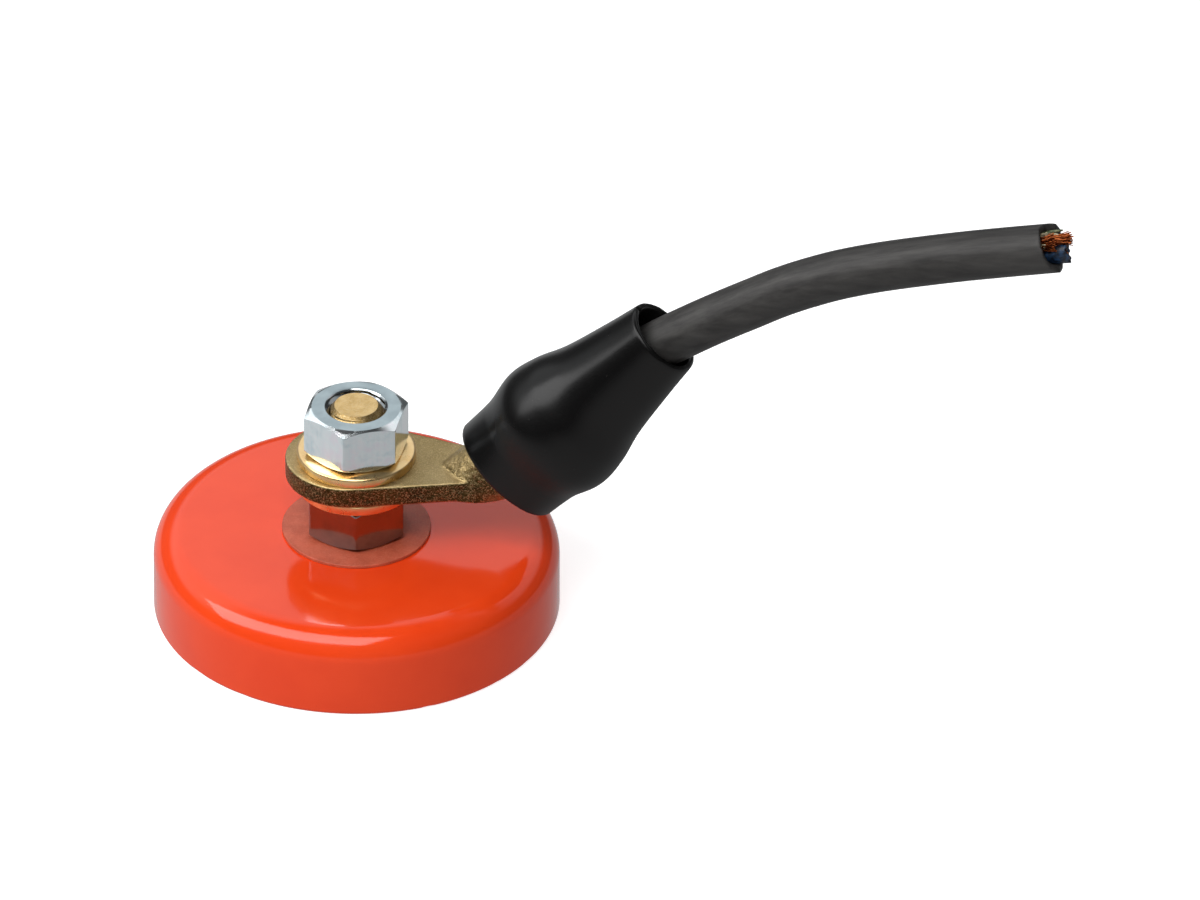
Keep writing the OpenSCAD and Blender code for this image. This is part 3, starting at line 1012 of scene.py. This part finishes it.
def boot_outline():
    """Half outline of the boot, (radius, distance from the wide end), outside and then inside."""
    outside = smooth_line(
        [
            (0.5, COLLAR_R - 0.2), (6, COLLAR_R + 0.1), (9, COLLAR_R + 0.5), (15, BULGE_R),
            (21, BULGE_R - 0.8), (28, BULGE_R - 2.9), (38, MOUTH_R + 1.35), (BOOT_LEN - 0.7, MOUTH_R),
        ],
        8,
    )
    taper = COLLAR_WALL - MOUTH_WALL
    inside = [(d, r - COLLAR_WALL + taper * d / BOOT_LEN) for d, r in reversed(outside)]
    inner_mouth = MOUTH_R - MOUTH_WALL
    mouth = [
        (BOOT_LEN - 0.25, MOUTH_R - 0.1), (BOOT_LEN, MOUTH_R - 0.4), (BOOT_LEN, inner_mouth + 0.35),
        (BOOT_LEN - 0.12, inner_mouth + 0.08), (BOOT_LEN - 0.5, inner_mouth - 0.04),
        (BOOT_LEN - 0.9, inner_mouth + 0.05),
    ]
    inner_collar = COLLAR_R - COLLAR_WALL
    rim = [(0.1, inner_collar + 0.3), (0, inner_collar + 0.7), (0, COLLAR_R - 0.75), (0.13, COLLAR_R - 0.4)]
    return [(r, d) for d, r in [*outside, *mouth, *inside[1:], *rim]]


def rubber_boot():
    """Moulded bell: the wide end is a little askew, and the mouth's soft, uneven edge has a nick at the top."""
    points, faces = lathe(boot_outline(), 192)
    shaped = []
    for x, y, d in points:
        a = math.atan2(y, x)
        p = Vector((math.cos(a) * 1.6, math.sin(a) * 1.6, d * 0.05))
        swell = 1 + 0.008 * noise.noise(p) + 0.004 * math.sin(2 * a)
        near_foot = max(0.0, 1 - d / 13)
        near_mouth = max(0.0, 1 - (BOOT_LEN - d) / 1.2)
        skew = near_foot * (-0.130 * y + 0.032 * x)
        uneven = near_mouth * 0.16 * noise.noise(p * 2.2 + Vector((3, 1, 2)))
        nick = near_mouth * NICK_DEPTH * math.exp(-((a - NICK_ANGLE) / 0.05) ** 2)
        bend = BOOT_BEND * (d / BOOT_LEN) ** 1.5
        shaped.append((x * swell - bend, y * swell, d + skew + uneven - nick))
    matrix = along_frame(BOOT_FOOT, BARREL_ALONG)
    skinned = place(shaped, matrix), faces
    add_piece("rubber_boot_bell", skinned, BOOT, "lug", "boot_rubber", "rubber_boot", sharp=50)


# ---- cable ----


END = Vector((ROUTE[-1][0], 0, ROUTE[-1][1]))
END_ALONG = (END - Vector((ROUTE[-2][0], 0, ROUTE[-2][1]))).normalized()
END_UP = END_ALONG.cross(Vector((0, 1, 0)))


def at_end(along, up, near):
    """Point at the cable's cut end, in mm along the cable, above its axis and towards the front."""
    return END + END_ALONG * along + END_UP * up + Vector((0, -near, 0))


def cut_back(a):
    """How far the knife's cut goes back at an angle round the cable, counted from the top to the back."""
    off = (a - CUT_ANGLE + math.pi) % TAU - math.pi
    share = off / (CUT_HALF_FAR if off > 0 else CUT_HALF_NEAR)
    return CUT_DEPTH * max(0.0, 1 - share * share)


def cable():
    """The sheath: a swept tube, its far end cut slantwise and hollowed where the cores come out."""
    line = [Vector((x, 0, z)) for x, z in smooth_line(ROUTE, 6)]
    sides = 96
    rings = sweep(line, lambda i, a: CABLE_R + 0.06 * ruffle(a, 1.2, i * 0.11) + 0.02 * math.sin(3 * a), sides)
    angles = circle(sides)
    # The cut fades out over the last rings, so the sheath's points stay in order along it
    fringe = 10
    last = len(rings) - 1
    for step in range(fringe):
        keep = (1 - step / fringe) ** 1.5
        rings[last - step] = [
            p + END_ALONG * keep * (0.2 - cut_back(a) + 0.25 * ruffle(a, 2.5, 5) + 0.12 * ruffle(a, 9, 2))
            for p, a in zip(rings[last - step], angles)
        ]
    edge = rings[last]
    axis = [line[-1] + END_ALONG * (p - line[-1]).dot(END_ALONG) for p in edge]
    for share, sink in ((0.985, -0.10), (0.93, -0.16), (0.80, -0.10), (0.72, 0.10), (0.69, 0.8), (0.68, 4.0)):
        rings.append(
            [
                q + (p - q) * (share + 0.02 * ruffle(a, 3, share * 9)) - END_ALONG * sink
                for p, q, a in zip(edge, axis, angles)
            ]
        )
    piece = add_piece("cable_sheath", skin(rings), CABLE, "lug", "cable_rubber", "cable_jacket", sharp=50)
    return piece, line


def core(name, material, slot, node, up, near, radius, end, squash, sliver):
    """Insulation of one core: a tube whose end is uneven, pinched and, at its top, drawn out into a sliver."""
    steps, sides = 10, 40
    rings = []
    for i in range(steps + 1):
        share = i / steps
        ring = []
        for a in circle(sides):
            wobble = 1 + 0.05 * ruffle(a, 1.5, share * 2 + up)
            wide = radius * wobble * (1 + squash * share * math.cos(2 * a))
            reach = share ** 3 * (0.7 * ruffle(a, 1.7, near) + sliver * math.exp(-((a - 0.1) / 0.4) ** 2))
            t = END_ROOT + (end - END_ROOT) * share + reach
            ring.append(at_end(t, up + wide * math.cos(a), near + wide * math.sin(a)))
        rings.append(ring)
    centre = at_end(end, up, near)
    edge = rings[-1]
    axis = [centre + END_ALONG * (p - centre).dot(END_ALONG) for p in edge]
    for share, sink in ((0.94, -0.07), (0.80, -0.05), (0.66, 0.12), (0.60, 0.9)):
        rings.append([p + (q - p) * (1 - share) - END_ALONG * sink for p, q in zip(edge, axis)])
    return add_piece(name, skin(rings), material, "lug", slot, node, sharp=50)


def bundle(up, near, half_up, half_near, number, start, end, spread):
    """Fine copper wires side by side, their ends splayed and cut unevenly."""
    wires = []
    for k in range(number):
        r, a = math.sqrt((k + 0.5) / number), k * GOLDEN_ANGLE
        u, n = r * math.cos(a), r * math.sin(a)
        bend_u, bend_n = random.uniform(-1, 1) * spread, random.uniform(-1, 1) * spread
        tip = end + random.uniform(-0.7, 0.5)
        line = [
            at_end(
                start + (tip - start) * t,
                up + half_up * u * (1 + 0.25 * t * t) + bend_u * t ** 3,
                near + half_near * n * (1 + 0.25 * t * t) + bend_n * t ** 3,
            )
            for t in (0, 0.35, 0.6, 0.8, 0.92, 1)
        ]
        wires.append(skin(sweep(line, WIRE_R, 6)))
    return wires


def cable_end():
    """The cores, their copper and the filler that stand out of the cut end."""
    pieces = [
        core("blue_core", BLUE, "blue_insulation", "core_blue", -1.75, -0.5, 1.85, 2.0, 0.16, 0.3),
        core("brown_core", BROWN, "brown_insulation", "core_brown", 1.5, 1.5, 1.6, -2.9, 0.1, 0.0),
        core("earth_core", EARTH, "earth_insulation", "core_earth", 1.9, -1.9, 1.1, -2.2, 0.0, 4.2),
    ]
    wires = bundle(1.8, 1.2, 1.4, 1.2, 90, -4, -0.2, 0.6)
    wires += bundle(1.1, -1.1, 0.95, 0.9, 80, -3, 3.0, 0.6)
    wires += bundle(-1.75, -0.5, 0.9, 0.9, 40, -1, 1.7, 0.1)
    strands = add_piece("copper_strands", join(wires), COPPER, "lug", "copper", "core_strands", sharp=60)
    threads = []
    for _ in range(36):
        a = random.uniform(-0.7, 0.9)
        r = random.uniform(2.6, 3.3)
        up, near = r * math.cos(a), r * math.sin(a)
        tip = -cut_back(-a) + random.uniform(0.3, 1.6)
        bend_u, bend_n = random.uniform(-0.9, 0.3), random.uniform(-0.8, 0.8)
        line = [
            at_end(END_ROOT + (tip - END_ROOT) * t, up + bend_u * t ** 3, near + bend_n * t ** 3)
            for t in (0, 0.3, 0.6, 0.8, 0.92, 1)
        ]
        threads.append(skin(sweep(line, THREAD_R, 5)))
    filler = add_piece("filler_threads", join(threads), COTTON, "lug", "filler_cotton", "filler_cord", sharp=60)
    return pieces + [strands, filler]


# ---- carried-over CAD nodes ----


def dress_cad_nodes():
    """Materials for the pieces that stay as the CAD has them."""
    for node, material in (("insulating_sleeve", NYLON), ("conductor_end", COPPER), ("clamp_screws", STEEL)):
        wear(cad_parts[node], material)


# ---- studio and lights ----


def panel(name, centre, long_way, size, radiance, seen=True, lights=True):
    """A soft rectangular light facing the origin, placed in metres in a frame turned with the camera.

    Its long side is along long_way. It is seen in reflections, lights matt surfaces, or both.
    """
    turn = Matrix.Rotation(CAMERA_AZIMUTH, 3, "Z")
    centre = turn @ Vector(centre)
    z = centre.normalized()
    x = turn @ Vector(long_way)
    x = (x - z * x.dot(z)).normalized()
    data = bpy.data.lights.new(name, "AREA")
    data.shape = "RECTANGLE"
    data.size, data.size_y = size
    data.energy = radiance * math.pi * size[0] * size[1]
    light = bpy.data.objects.new(name, data)
    light.visible_glossy = seen
    light.visible_diffuse = lights
    light.matrix_world = Matrix.Translation(centre) @ Matrix((x, z.cross(x), z)).transposed().to_4x4()
    bpy.context.scene.collection.objects.link(light)


def sky(world):
    """Surroundings: a bright back wall above a dark horizon, a dim front, a dark zenith and a pale ground."""
    world.use_nodes = True
    nodes = Nodes(world.node_tree)
    direction = nodes.tree.nodes.new("ShaderNodeTexCoord").outputs["Generated"]
    look = nodes.node("ShaderNodeMapping", Vector=direction, Rotation=(0, 0, -CAMERA_AZIMUTH))
    split = nodes.node("ShaderNodeSeparateXYZ", Vector=look.outputs["Vector"]).outputs
    height = nodes.range(split["Z"], 0, 1, -1, 1)

    def by_height(*stops):
        """Brightness between stops of (height of the direction, level)."""
        return nodes.ramp(height, *(((at + 1) / 2, (level * 0.97, level * 0.99, level)) for at, level in stops))

    back = by_height(
        (-1, 0.40), (-0.08, 0.46), (0.0, 0.08), (0.34, 0.10), (0.46, 0.92), (0.80, 0.92), (0.92, 0.06)
    )
    front = by_height((-1, 0.40), (-0.08, 0.46), (0.04, 0.07), (0.30, 0.07), (0.60, 0.14), (0.92, 0.05))
    colour = nodes.mix(nodes.range(split["Y"], 0, 1, -0.1, 0.35, "SMOOTHSTEP"), front, back)
    left_to_right = nodes.range(split["X"], 1.2, 0.75, -1, 1, "SMOOTHSTEP")
    background = nodes.tree.nodes["Background"].inputs
    nodes.feed(background["Color"], nodes.mix(1.0, colour, left_to_right, "MULTIPLY"))
    nodes.feed(background["Strength"], 1.3)


def studio():
    """A pale floor just under the cup's rim, the surroundings, and three soft lights."""
    side, under = 4000, -0.02
    corners = [(-side, -side, under), (side, -side, under), (side, side, under), (-side, side, under)]
    floor = mesh_object("floor", corners, [(0, 1, 2, 3)])
    finish = Finish("pale_floor", roughness=0.9, emission_strength=0.72, emission_color=(1, 1, 1, 1))
    finish.set("Base Color", finish.mix(finish.noise(3, 2), (0.60, 0.60, 0.60), (0.62, 0.62, 0.62)))
    wear(floor, finish.material)
    # The floor only catches shadows: the surroundings stand in for it in reflections
    floor.visible_glossy = False
    floor.visible_diffuse = False
    floor.visible_shadow = False
    scene = bpy.context.scene
    scene.world = bpy.data.worlds.new("studio")
    sky(scene.world)
    scene.view_settings.view_transform = "Standard"
    panel("key", (-0.50, -0.45, 0.85), (1.6, -0.65, 0), (1.4, 0.45), 7.5, seen=False)
    panel("key_sheen", (-0.44, -0.277, 0.93), (1.6, -0.65, 0), (1.5, 0.62), 5.6, lights=False)
    panel("front_fill", (0.35, -1.10, 0.18), (1, 0, 0), (1.0, 0.6), 1.7, seen=False)


# ---- everything ----

pot_shell()
magnet_and_resin()
fibre_washers()
contact_stud()
nuts()
washers()
cable_lug()
rubber_boot()
sheath, sheath_line = cable()
end_pieces = cable_end()
dress_cad_nodes()
studio()
